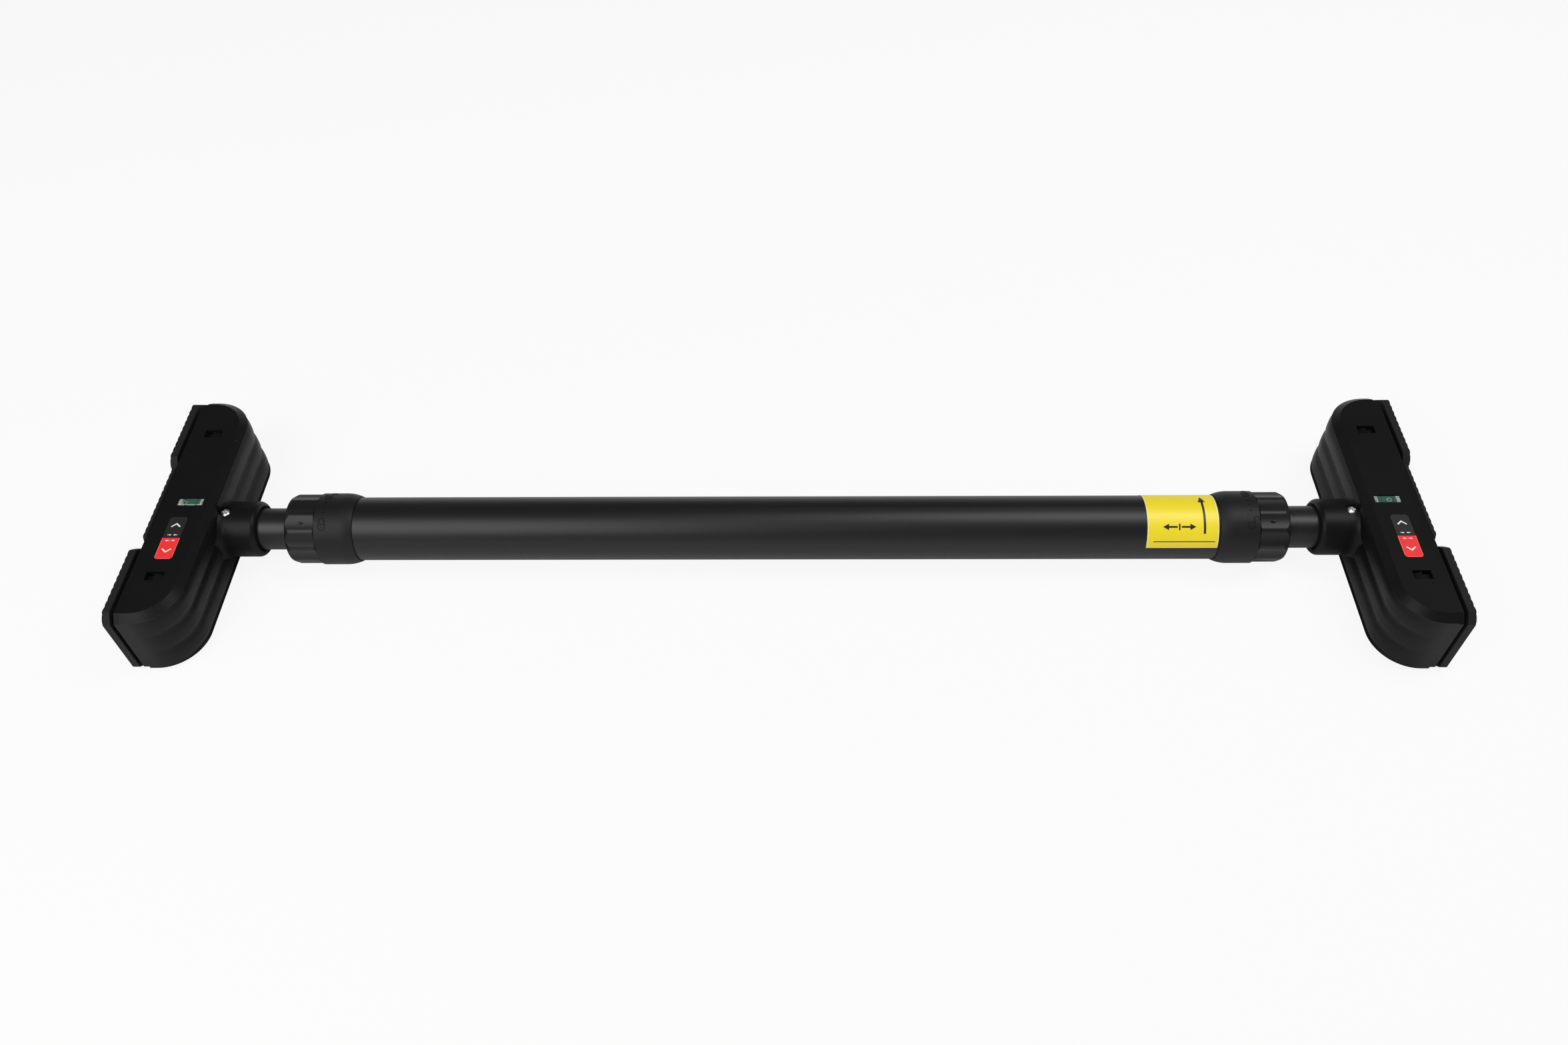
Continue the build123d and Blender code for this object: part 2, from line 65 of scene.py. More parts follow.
# A number on a surface: arithmetic on it adds Math nodes
class Value:
    def __init__(self, look, socket):
        self.look = look
        self.socket = socket

    def math(self, operation, *others):
        return self.look.add("ShaderNodeMath", {"operation": operation}, [self, *others])

    def __add__(self, other):
        return self.math("ADD", other)

    def __radd__(self, other):
        return self.math("ADD", other)

    def __sub__(self, other):
        return self.math("SUBTRACT", other)

    def __rsub__(self, other):
        return self.look.add("ShaderNodeMath", {"operation": "SUBTRACT"}, [other, self])

    def __mul__(self, other):
        return self.math("MULTIPLY", other)

    def __rmul__(self, other):
        return self.math("MULTIPLY", other)

    def __gt__(self, other):
        return self.math("GREATER_THAN", other)

    def __lt__(self, other):
        return self.math("LESS_THAN", other)

    def __abs__(self):
        return self.math("ABSOLUTE")


# The node tree of a material, or of the world, with one method that adds any node
class Look:
    def __init__(self, name, kind="materials", place="Object"):
        self.block = getattr(bpy.data, kind).new(name)
        self.block.use_nodes = True
        self.tree = self.block.node_tree
        self.tree.nodes.clear()
        self.place = self.add("ShaderNodeTexCoord", output=place)

    def add(self, kind, settings=None, inputs=None, output=0):
        node = self.tree.nodes.new(kind)
        for key, value in (settings or {}).items():
            setattr(node, key, value)
        pairs = inputs.items() if isinstance(inputs, dict) else enumerate(inputs or [])
        for key, value in pairs:
            if isinstance(value, Value):
                self.tree.links.new(value.socket, node.inputs[key])
            else:
                node.inputs[key].default_value = value
        return Value(self, node.outputs[output])

    # soft clouds from 0 to 1, with features of a size in millimetres
    def clouds(self, size, detail=2.0, roughness=0.5):
        inputs = {"Vector": self.place, "Scale": 1000 / size, "Detail": detail, "Roughness": roughness}
        return self.add("ShaderNodeTexNoise", inputs=inputs)

    # stray dust: 1 inside a speck, with specks in some of the cells only
    def dust(self, spacing, share, size):
        inputs = {"Vector": self.place, "Scale": 1000 / spacing}
        near = self.add("ShaderNodeTexVoronoi", {"feature": "F1"}, inputs) < size / spacing
        return near * (self.clouds(spacing * 2.3) > 1 - share)

    # colour a where the mask is 0, colour b where it is 1
    def mix(self, mask, a, b):
        return self.add("ShaderNodeMix", {"data_type": "RGBA"}, {0: mask, 6: a, 7: b}, output=2)

    # surface relief from a height, in millimetres deep
    def relief(self, height, depth, strength):
        inputs = {"Strength": strength, "Distance": depth / 1000, "Height": height}
        return self.add("ShaderNodeBump", inputs=inputs, output="Normal")

    # the named axes of the surface point, in millimetres
    def axes(self, names):
        inputs = {"Vector": self.place, "Scale": 1000.0}
        scaled = self.add("ShaderNodeVectorMath", {"operation": "SCALE"}, inputs)
        return [self.add("ShaderNodeSeparateXYZ", inputs=[scaled], output=name) for name in names]

    # 0 up to the first value and 1 from the last, rising softly between them
    def softStep(self, value, first, last):
        inputs = {"Value": value, "From Min": first, "From Max": last}
        return self.add("ShaderNodeMapRange", {"interpolation_type": "SMOOTHSTEP"}, inputs)

    def shader(self, **sockets):
        named = {key.replace("_", " "): value for key, value in sockets.items()}
        return self.add("ShaderNodeBsdfPrincipled", inputs=named)

    def close(self, shader, kind="Material"):
        output = self.tree.nodes.new("ShaderNodeOutput" + kind)
        self.tree.links.new(shader.socket, output.inputs["Surface"])
        return self.block

    def finish(self, **sockets):
        return self.close(self.shader(**sockets))


# near-neutral grey, a touch cool
def grey(value):
    return (value, value, value * 1.02, 1.0)


# Powder-coated grip tube: dull black with a fine orange peel and a little dust
def gripCoat():
    look = Look("gripCoat")
    peel = look.clouds(0.7, 3.0, 0.6)
    tone = look.clouds(80, 4.0)
    dust = look.dust(13, 0.4, 0.35)
    colour = look.mix(tone, grey(0.0060), grey(0.0085))
    return look.finish(
        Base_Color=look.mix(dust * 0.5, colour, grey(0.12)),
        Roughness=0.36 + 0.06 * tone + 0.05 * peel,
        Specular_IOR_Level=0.38,
        Normal=look.relief(peel, 0.012, 0.5),
    )


# Glossier paint of the stems, with faint rings from sliding in the nut
def stemPaint():
    look = Look("stemPaint")
    (x,) = look.axes("X")
    rings = (x * 2.6 + look.clouds(6) * 2).math("SINE") * 0.5 + 0.5
    tone = look.clouds(25, 3.0)
    peel = look.clouds(0.5, 2.0)
    return look.finish(
        Base_Color=look.mix(tone, grey(0.010), grey(0.014)),
        Roughness=0.36 + 0.06 * tone + 0.03 * rings,
        Specular_IOR_Level=0.38,
        Normal=look.relief(peel, 0.006, 0.4),
    )


# Moulded housing: fine spark-eroded grain, flow clouding and stray dust
def mouldedPlastic():
    look = Look("mouldedPlastic")
    grain = look.clouds(0.3, 2.0, 0.7)
    flow = look.clouds(32, 4.0, 0.55)
    dust = look.dust(11, 0.42, 0.3)
    colour = look.mix(flow, grey(0.0050), grey(0.0072))
    return look.finish(
        Base_Color=look.mix(dust * 0.6, colour, grey(0.16)),
        Roughness=0.36 + 0.08 * flow + 0.05 * grain,
        Specular_IOR_Level=0.14,
        Normal=look.relief(grain, 0.014, 0.5),
    )


# Smoother plastic of the lock rings, and the same plastic duller on the sleeves
def ringPlastic(name, roughness, specular):
    look = Look(name)
    grain = look.clouds(0.4, 2.0, 0.6)
    flow = look.clouds(18, 3.0)
    dust = look.dust(12, 0.4, 0.3)
    colour = look.mix(flow, grey(0.0060), grey(0.0090))
    return look.finish(
        Base_Color=look.mix(dust * 0.5, colour, grey(0.14)),
        Roughness=roughness + 0.09 * flow + 0.06 * grain,
        Specular_IOR_Level=specular,
        Normal=look.relief(grain, 0.010, 0.5),
    )


# Rubber: dull skin, paler where dust lies
def footRubber():
    look = Look("footRubber")
    skin = look.clouds(0.6, 4.0, 0.65)
    pale = look.clouds(14, 5.0, 0.6)
    return look.finish(
        Base_Color=look.mix(pale, grey(0.0065), grey(0.0125)),
        Roughness=0.62 + 0.16 * pale,
        Specular_IOR_Level=0.26,
        Normal=look.relief(skin, 0.03, 0.7),
    )


# Natural nylon of the hidden bushes and nuts
def nylon():
    look = Look("nylon")
    flow = look.clouds(6, 3.0)
    grain = look.clouds(0.4)
    return look.finish(
        Base_Color=look.mix(flow, (0.52, 0.51, 0.46, 1), (0.60, 0.59, 0.54, 1)),
        Roughness=0.40 + 0.12 * grain,
        Normal=look.relief(grain, 0.01, 0.5),
    )


# Zinc-plated steel: spangled, slightly yellowed in patches
def zincSteel():
    look = Look("zincSteel")
    patch = look.clouds(4, 4.0, 0.6)
    fine = look.clouds(0.5)
    return look.finish(
        Base_Color=look.mix(patch, (0.55, 0.56, 0.58, 1), (0.66, 0.64, 0.57, 1)),
        Metallic=1.0,
        Roughness=0.26 + 0.16 * patch + 0.06 * fine,
        Normal=look.relief(fine, 0.006, 0.4),
    )


# Bright chrome of the screws, with faint handling marks
def brightChrome():
    look = Look("brightChrome")
    marks = look.clouds(0.6, 4.0, 0.7)
    return look.finish(
        Base_Color=look.mix(marks, (0.86, 0.86, 0.88, 1), (0.94, 0.94, 0.95, 1)),
        Metallic=1.0,
        Roughness=0.25 + 0.12 * marks,
        Normal=look.relief(marks, 0.004, 0.3),
    )


# Clear acrylic of the level, with a haze of fine scratches
def clearAcrylic():
    look = Look("clearAcrylic")
    haze = look.clouds(1.2, 3.0)
    return look.finish(
        Base_Color=look.mix(haze, (0.10, 0.16, 0.13, 1), (0.22, 0.30, 0.25, 1)),
        Roughness=0.04 + 0.06 * haze,
        Specular_IOR_Level=1.0,
        Alpha=0.12,
    )


# Green level fluid, brighter towards the top and darker lower down: painted shade deeper under the lens
def levelFluid():
    look = Look("levelFluid")
    (z,) = look.axes("Z")
    low, high = corners("right_level_fluid")
    rise = (z - low[2]) * (1 / (high[2] - low[2]))
    haze = look.clouds(3)
    paintedShadeGreen, litTopGreen = (0.004, 0.055, 0.028, 1), (0.009, 0.135, 0.068, 1)
    return look.finish(
        # painted shade: the green darkens with depth below the fluid's top
        Base_Color=look.mix(rise * 0.8 + haze * 0.2, paintedShadeGreen, litTopGreen),
        Roughness=0.06 + 0.05 * haze,
        Specular_IOR_Level=1.0,
        Coat_Weight=1.0,
    )


# Whitish end plugs of the level, mottled with glue
def plugPlastic():
    look = Look("plugPlastic")
    haze = look.clouds(1.1, 3.0)
    return look.finish(
        Base_Color=look.mix(haze * 3.2 - 1.1, (0.24, 0.26, 0.20, 1), (0.80, 0.82, 0.74, 1)),
        Roughness=0.35 + 0.1 * haze,
    )


# Yellow film: slight paper grain under gloss, and a pale cut edge all round
yellowLabel = {"firstAngle": 18.0, "lastAngle": 169.0, "paleEdge": 0.55}


def yellowFilm(label):
    look = Look("yellowFilm")
    low, high = corners("direction_label")
    grain = look.clouds(0.5, 3.0, 0.6)
    tone = look.clouds(20)
    x, y, z = look.axes("XYZ")
    angle = (z - axisZ).math("ARCTAN2", y)
    first, last = math.radians(label["firstAngle"]), math.radians(label["lastAngle"])
    edge = label["paleEdge"]
    alongEdge = abs(x - (low[0] + high[0]) / 2) > (high[0] - low[0]) / 2 - edge
    roundEdge = abs(angle - (first + last) / 2) > (last - first) / 2 - edge / gripRadius
    body = look.mix(tone, (0.97, 0.76, 0.022, 1), (1.0, 0.82, 0.030, 1))
    return look.finish(
        Base_Color=look.mix(alongEdge.math("MAXIMUM", roundEdge), body, (0.98, 0.88, 0.42, 1)),
        Roughness=0.36 + 0.12 * grain,
        Normal=look.relief(grain, 0.006, 0.4),
    )


# Turn sticker: grey far half and red near half, with a thin paler rim round the red, and printed grain
turnSticker = {"split": 0.2, "rim": 0.35}


def turnFilm(sticker):
    look = Look("turnFilm")
    low, high = corners("right_turn_label")
    middle = (low[1] + high[1]) / 2 - sticker["split"]
    grain = look.clouds(0.35, 2.0, 0.7)
    x, y = look.axes("XY")
    red = y < middle
    side = abs(abs(x) - (low[0] + high[0]) / 2) > (high[0] - low[0]) / 2 - sticker["rim"]
    near = y < low[1] + sticker["rim"]
    rim = side.math("MAXIMUM", near) * red
    greyHalf = look.mix(grain, grey(0.010), grey(0.022))
    redHalf = look.mix(grain, (0.92, 0.028, 0.030, 1), (1.0, 0.042, 0.046, 1))
    plain = look.mix(red, greyHalf, redHalf)
    return look.finish(
        Base_Color=look.mix(rim, plain, (0.95, 0.16, 0.15, 1)),
        Roughness=0.38 + 0.15 * grain,
        Normal=look.relief(grain, 0.008, 0.5),
    )


# Printing ink, matt, in one colour with a slight mottle
def ink(name, colour):
    look = Look(name)
    mottle = look.clouds(0.6, 3.0, 0.6)
    thin = tuple(0.84 * part for part in colour[:3]) + (1.0,)
    return look.finish(Base_Color=look.mix(mottle, thin, colour), Roughness=0.4 + 0.15 * mottle)


looks = {
    "gripCoat": gripCoat(),
    "stemPaint": stemPaint(),
    "black_plastic": mouldedPlastic(),
    "ringPlastic": ringPlastic("ringPlastic", 0.36, 0.33),
    "sleevePlastic": ringPlastic("sleevePlastic", 0.46, 0.28),
    "black_rubber": footRubber(),
    "nylon": nylon(),
    "zinc_steel": zincSteel(),
    "chrome": brightChrome(),
    "clear_acrylic": clearAcrylic(),
    "green_fluid": levelFluid(),
    "white_plastic": plugPlastic(),
    "yellow_label": yellowFilm(yellowLabel),
    "turn_label": turnFilm(turnSticker),
    "blackInk": ink("blackInk", (0.014, 0.013, 0.012, 1)),
    "whiteInk": ink("whiteInk", (0.97, 0.97, 0.96, 1)),
}
# nodes that share a slot but have a finish of their own
ownLooks = {
    "main_tube": "gripCoat",
    "stem_tube": "stemPaint",
    "sleeve": "sleevePlastic",
    "lock_ring": "ringPlastic",
}
for part in frame["record"]["subparts"]:
    name = part["node"]
    kind = name.split("_", 1)[1] if name.split("_")[0] in ends else name
    nodes[name].data.materials.clear()
    nodes[name].data.materials.append(looks[ownLooks.get(kind, part["material_slot"])])
print("finishes made:", len(looks))


# Grids of points become one mesh: quads join neighbouring sections, each closed round.
# A grid that loops joins its last section to its first. Otherwise a face can close each end.
def makeMesh(name, grids, capped=True, sharp=None):
    verts, faces, start = [], [], 0
    for points, loops in grids:
        rows, cols = points.shape[:2]
        index = start + np.arange(rows * cols).reshape(rows, cols)
        wide = np.concatenate([index, index[:, :1]], axis=1)
        tall = np.concatenate([wide, wide[:1]], axis=0) if loops else wide
        quads = np.stack([tall[:-1, :-1], tall[:-1, 1:], tall[1:, 1:], tall[1:, :-1]], axis=-1)
        faces += quads.reshape(-1, 4).tolist()
        if capped and not loops:
            faces += [index[0][::-1].tolist(), index[-1].tolist()]
        verts.append(points.reshape(-1, 3))
        start += rows * cols
    mesh = bpy.data.meshes.new(name)
    mesh.from_pydata(np.concatenate(verts), [], faces)
    shape = bmesh.new()
    shape.from_mesh(mesh)
    bmesh.ops.recalc_face_normals(shape, faces=shape.faces)
    shape.to_mesh(mesh)
    shape.free()
    mesh.shade_smooth()
    if sharp:
        mesh.set_sharp_from_angle(angle=math.radians(sharp))
    thing = bpy.data.objects.new(name, mesh)
    bpy.context.scene.collection.objects.link(thing)
    return thing


# A finished piece: grids in millimetres become a mesh in metres that rides on a body
def makePiece(name, grids, look, body, sharp=35):
    piece = makeMesh(name, [(points / 1000, loops) for points, loops in grids], sharp=sharp)
    piece.data.materials.append(looks[look])
    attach(piece, body)
    return piece


# Camera at the photograph's viewing angle: turns in degrees, lengths in millimetres
viewpoint = {
    "elevation": 50.108,
    "turn": 1.954,
    "roll": -1.621,
    "distance": 762.07,
    "across": 0.17,
    "rise": 3.24,
    "focalPixels": 1900.8,
    "imageWidth": 2353,
    "sensor": 36.0,
    "nearest": 10.0,
}


def addCamera(v):
    elevation, turn, roll = (math.radians(v[key]) for key in ("elevation", "turn", "roll"))
    spin = Matrix.Rotation(turn, 3, "Z")
    forward = spin @ Vector((0, math.cos(elevation), -math.sin(elevation)))
    side = spin @ Vector((1, 0, 0))
    up = side.cross(forward)
    right = math.cos(roll) * side + math.sin(roll) * up
    top = math.cos(roll) * up - math.sin(roll) * side
    place = Vector((v["across"], 0, axisZ)) - forward * v["distance"] + top * v["rise"]
    data = bpy.data.cameras.new("camera")
    data.sensor_fit = "HORIZONTAL"
    data.sensor_width = v["sensor"]
    data.lens = v["focalPixels"] / v["imageWidth"] * v["sensor"]
    data.clip_start = v["nearest"] / 1000
    camera = bpy.data.objects.new("camera", data)
    turned = Matrix((right, top, -forward)).transposed().to_4x4()
    camera.matrix_world = Matrix.Translation(place / 1000) @ turned
    bpy.context.scene.collection.objects.link(camera)
    bpy.context.scene.camera = camera


addCamera(viewpoint)

# Studio, in metres: a pale round floor that curves up into a low wall, and a softbox over each half
studio = {
    "floorRadius": 3.0,
    "wallHeight": 0.9,
    "bend": 0.6,
    "flatRows": 8,
    "bendRows": 16,
    "around": 96,
    "middle": 0.001,  # radius of the open point under the object
    "pale": 0.78,
    "mottle": 0.02,
    "white": 0.9,  # how far the camera sees the floor as white, shadows apart
    "wallWhite": 0.4,
    "wallFade": (20.0, 450.0),  # heights, in millimetres, between floor white and wall white
    "shade": 0.15,  # reach of the shade round the object that shiny surfaces see on the floor
    "shadeDepth": 3.0,
    "horizon": 0.75,
    "overhead": 0.06,
    "skyFade": (0.1, 0.45),  # sines of the heights between horizon and overhead
    "lamps": {  # each hangs over a place on the bar and looks at it
        "leftSoftbox": {
            "over": -0.78,
            "back": -0.74,
            "height": 1.09,
            "size": (1.0, 1.05),
            "power": 14.5,
        },
        "rightSoftbox": {
            "over": 0.72,
            "back": 0.0,
            "height": 1.33,
            "size": (1.15, 0.55),
            "power": 12.2,
        },
    },
}


# floor: a profile of radius and height turned about the vertical.
# The profile is flat, then a quarter circle, then upright.
def addStudio(s):
    flat = np.linspace(s["middle"], s["floorRadius"] - s["bend"], s["flatRows"])
    arc = np.linspace(0, math.pi / 2, s["bendRows"])[1:]
    radius = np.concatenate([flat, flat[-1] + s["bend"] * np.sin(arc), [s["floorRadius"]]])[:, None]
    height = np.concatenate([flat * 0, s["bend"] * (1 - np.cos(arc)), [s["wallHeight"]]])[:, None]
    angle = np.linspace(0, 2 * math.pi, s["around"], endpoint=False)
    points = np.stack([radius * np.cos(angle), radius * np.sin(angle), height + 0 * angle], axis=-1)
    floor = makeMesh("studioFloor", [(points, False)], capped=False)
    look = Look("paleFloor")
    tone = look.clouds(600)
    colour = look.mix(tone, grey(s["pale"] - s["mottle"]), grey(s["pale"]))
    lit = look.shader(Base_Color=colour, Roughness=0.9, Specular_IOR_Level=0.1)
    white = look.add("ShaderNodeEmission", inputs={"Color": (1, 1, 1, 1), "Strength": 1.0})
    kinds = ("Camera", "Glossy", "Transmission")
    rays = [look.add("ShaderNodeLightPath", output=f"Is {kind} Ray") for kind in kinds]
    inputs = {"Distance": s["shade"]}
    openness = look.add("ShaderNodeAmbientOcclusion", {"samples": 4}, inputs, output="AO")
    mirrored = rays[1].math("MAXIMUM", rays[2]) * openness.math("POWER", s["shadeDepth"])
    seen = rays[0].math("MAXIMUM", mirrored)
    (z,) = look.axes("Z")
    up = look.softStep(z, *s["wallFade"])
    share = seen * (s["white"] - up * (s["white"] - s["wallWhite"]))
    floor.data.materials.append(look.close(look.add("ShaderNodeMixShader", inputs=[share, lit, white])))
    sky = Look("studioWorld", "worlds", "Generated")
    rise = sky.add("ShaderNodeSeparateXYZ", inputs=[sky.place], output=2)
    colour = sky.mix(sky.softStep(rise, *s["skyFade"]), grey(s["horizon"]), grey(s["overhead"]))
    background = sky.add("ShaderNodeBackground", inputs={"Color": colour, "Strength": 1.0})
    bpy.context.scene.world = sky.close(background, "World")
    for name, lamp in s["lamps"].items():
        data = bpy.data.lights.new(name, "AREA")
        data.shape = "RECTANGLE"
        data.size, data.size_y = lamp["size"]
        data.energy = lamp["power"]
        light = bpy.data.objects.new(name, data)
        away = Vector((0, lamp["back"], lamp["height"]))
        turn = (-away).to_track_quat("-Z", "Y").to_matrix().to_4x4()
        light.matrix_world = Matrix.Translation(away + Vector((lamp["over"], 0, 0))) @ turn
        bpy.context.scene.collection.objects.link(light)
    bpy.context.scene.view_settings.view_transform = "Standard"


addStudio(studio)
print("camera and studio set")


# Ring of points square to the bar: place along X, radius and angle, broadcast together
def aroundBar(x, radius, angle):
    y, z = radius * np.cos(angle), axisZ + radius * np.sin(angle)
    return np.stack(np.broadcast_arrays(x, y, z), axis=-1)


# Stem with its thread, hidden in the main tube at rest and screwed out when the bar is made longer.
# The radius is the crest less a trapezoid wave of (place / pitch - angle / full turn),
# faded at both ends.
stem = {
    "pitch": 5.0,
    "depth": 1.0,
    "crest": 0.35,  # shares of the pitch
    "flanks": 0.3,
    "wall": 2.2,
    "threadEnd": 271.0,
    "plainStart": 6.0,
    "plainRows": 12,
    "fade": 5.0,
    "step": 0.25,
    "around": 72,
}


def makeStem(end, s):
    low, high = corners(end + "_stem_tube")
    side = ends[end]
    radius = (high[2] - low[2]) / 2
    inner, outer = sorted(abs(np.array([low[0], high[0]])))
    start = inner + s["plainStart"]
    threaded = np.arange(start, s["threadEnd"], s["step"])
    plain = np.linspace(s["threadEnd"], outer, s["plainRows"])
    x = np.concatenate([[inner], threaded, plain])[:, None]
    angle = np.linspace(0, 2 * math.pi, s["around"], endpoint=False)
    phase = (x / s["pitch"] - angle / (2 * math.pi)) % 1.0
    cut = np.clip((abs(2 * phase - 1) - s["crest"]) / s["flanks"], 0, 1)
    fade = np.clip((x - start) / s["fade"], 0, 1)
    fade = fade * np.clip((s["threadEnd"] - x) / s["fade"], 0, 1)
    outside = aroundBar(side * x, radius - s["depth"] * cut * fade, angle)
    inside = aroundBar(side * np.array([[outer], [inner]]), radius - s["wall"], angle)
    grids = [(np.concatenate([outside, inside]), True)]
    piece = makePiece(end + "_stem", grids, "stemPaint", end + "_end")
    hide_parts(end + "_stem_tube")


for end in ends:
    makeStem(end, stem)
print("stems threaded")

# Lock ring: a profile of places and radii turned about the bar, with the outside cut by flutes.
# A flute is a parabola across its angle. It meets the land beside it in a soft corner,
# a log of summed exponentials.
lockRing = {
    "flutes": 12,
    "flute": 24.0,  # degrees across
    "deep": 1.04,
    "soft": 0.12,
    "bevel": 1.3,
    "bevelLength": 2.6,
    "bevelRows": 24,
    "beforeBevel": 0.1,
    "straightRows": 6,
    # from the outer end: place, radius
    "inside": [(0.0, 13.5), (-2.4, 13.5), (-5.8, 16.0), (-5.8, 18.5), (-17.3, 18.5)],
    "around": 480,
}


def makeLockRing(end, r):
    low, high = corners(end + "_lock_ring")
    side = ends[end]
    outer = max(abs(low[0]), abs(high[0]))
    length, radius = high[0] - low[0], (high[2] - low[2]) / 2
    angle = np.linspace(0, 360, r["around"], endpoint=False)
    half, sector = r["flute"] / 2, 360 / r["flutes"]
    across = (angle + sector / 2) % sector - sector / 2
    above = r["deep"] * (1 - (across / half) ** 2)
    fluted = radius - r["soft"] * np.log1p(np.exp(above / r["soft"]))
    down = np.linspace(0, 1, r["bevelRows"])
    bevelX, bevelR = outer - r["bevelLength"] * (1 - down), radius - r["bevel"] * down
    straight = np.linspace(outer - length, bevelX[0] - r["beforeBevel"], r["straightRows"])
    x = np.concatenate([straight, bevelX])[:, None]
    plain = np.concatenate([straight * 0 + radius, bevelR])[:, None]
    outside = aroundBar(side * x, np.minimum(plain, fluted), np.radians(angle))
    inX, inR = outer + np.array(r["inside"])[:, :1], np.array(r["inside"])[:, 1:]
    inside = aroundBar(side * inX, inR, np.radians(angle))
    grids = [(np.concatenate([outside, inside]), True)]
    piece = makePiece(end + "_fluted_ring", grids, "ringPlastic", end + "_lock_ring")
    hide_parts(end + "_lock_ring")


for end in ends:
    makeLockRing(end, lockRing)
print("lock rings fluted")

# Rubber feet and middle pads: a section carried along the pad, its wall side waved into shallow teeth.
# The section is a box with rounded wall edges, lower near the ends by what is cut off its corners.
# A tooth climbs as a smooth step over its rise, a share of the pitch, and falls in the same way.
rubber = {
    "upper_foot": {"thick": 4.5, "cut": 5.0},
    "lower_foot": {"thick": 4.5, "cut": 5.0},
    "middle_pad": {"thick": 2.2, "cut": 2.0},
}
teeth = {"pitch": 4.5, "height": 0.32, "rise": 0.36, "round": 0.35, "step": 0.25}


def makeRubber(end, kind, r, t):
    node = f"{end}_{kind}"
    low, high = corners(node)
    wall = max(abs(low[0]), abs(high[0]))
    rows = np.arange(low[1], high[1], t["step"])
    y = np.unique(np.concatenate([rows, [low[1] + r["cut"], high[1] - r["cut"], high[1]]]))[:, None]
    length = high[1] - low[1]
    phase = (y - low[1]) * round(length / t["pitch"]) / length % 1
    climb = np.clip((0.5 - abs(phase - 0.5)) / t["rise"], 0, 1)
    outer = wall - t["height"] * (1 - climb**2 * (3 - 2 * climb))
    half = (high[2] - low[2]) / 2 - np.clip(r["cut"] - np.minimum(y - low[1], high[1] - y), 0, None)
    back = np.array([0, 0.3, 1]) * t["round"]  # three points of the rounded edge
    quarter = np.concatenate([outer - back, 0 * y + wall - r["thick"]], axis=1)
    rise = np.concatenate([half - back[::-1], half], axis=1)
    x = ends[end] * np.concatenate([quarter, quarter[:, ::-1]], axis=1)
    z = (low[2] + high[2]) / 2 + np.concatenate([-rise, rise[:, ::-1]], axis=1)
    grid = np.stack(np.broadcast_arrays(x, y, z), axis=-1)
    piece = makePiece(node + "_rubber", [(grid, False)], "black_rubber", end + "_end")
    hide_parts(node)


for end in ends:
    for kind in rubber:
        makeRubber(end, kind, rubber[kind], teeth)
print("rubber toothed")

# Pan-head screws at the boss root, front and back: radius and height turned about the screw's axis.
# The head is a dome, a power of the radius, less a cross recess of four arms and a bowl in the middle.
screw = {
    "headRadius": 3.3,
    "headHeight": 2.4,
    "rim": 0.9,
    "domePower": 3.2,
    "domeRows": 46,
    "middle": 0.02,  # radius of the small face at the axis
    "shank": 1.9,
    "straight": 5.3,
    "length": 5.6,
    "tip": 0.4,
    "arm": 0.85,
    "reach": 1.9,
    "deep": 1.25,
    "armSide": 0.16,  # widths of the slopes into the recess
    "armEnd": 0.5,
    "bowlSide": 0.4,
    "around": 144,
}


def makeScrews(end, s):
    low, high = corners(end + "_boss_screws")
    middle = (low + high) / 2
    angle = np.linspace(0, 2 * math.pi, s["around"], endpoint=False)
    spread = np.linspace(s["middle"], s["headRadius"], s["domeRows"])[:, None]
    fall = (s["headHeight"] - s["rim"]) * (spread / s["headRadius"]) ** s["domePower"]
    across = spread * np.minimum(abs(np.cos(angle)), abs(np.sin(angle)))
    along = spread * np.maximum(abs(np.cos(angle)), abs(np.sin(angle)))
    inArm = np.clip((s["arm"] / 2 - across) / s["armSide"] + 0.5, 0, 1)
    inArm = inArm * np.clip((s["reach"] - along) / s["armEnd"], 0, 1)
    inBowl = np.clip((s["arm"] - spread) / s["bowlSide"], 0, 1)
    top = s["headHeight"] - fall - s["deep"] * np.maximum(inArm, inBowl)
    edge, shank, tip = s["headRadius"], s["shank"], s["shank"] - s["tip"]
    under = np.array([[edge, 0.0], [shank, 0.0], [shank, -s["straight"]], [tip, -s["length"]]])
    radius = np.concatenate([spread, under[:, :1]]) + 0 * angle
    height = np.concatenate([top, under[:, 1:] + 0 * angle])
    seat = (high[2] - low[2]) / 2 - s["headHeight"]
    grids = []
    for face in (1, -1):
        z = middle[2] + face * (seat + height)
        x, y = middle[0] + radius * np.cos(angle), radius * np.sin(angle)
        grids.append((np.stack([x, y, z], axis=-1), False))
    piece = makePiece(end + "_pan_screws", grids, "chrome", end + "_end", sharp=50)
    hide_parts(end + "_boss_screws")


for end in ends:
    makeScrews(end, screw)
print("screws made")


# Where a print or relief lies: each gives points for u along X, v towards the far side
# and lift off the surface
def onTube(radius, x, angle):
    start = math.radians(angle)
    return lambda u, v, lift: aroundBar(x + u, radius + lift, start - v / radius)


def onFace(x, y, z):
    return lambda u, v, lift: np.stack(np.broadcast_arrays(x + u, y + v, z + lift), axis=-1)


def onFlat(radius, x, angle):
    start = math.radians(angle)
    out = np.array([0, math.cos(start), math.sin(start)])
    far = np.array([0, math.sin(start), -math.cos(start)])

    def place(u, v, lift):
        flat = np.stack(np.broadcast_arrays(x + u, 0 * u, axisZ + 0 * u), axis=-1)
        return flat + (radius + lift) * out + v[:, None] * far

    return place


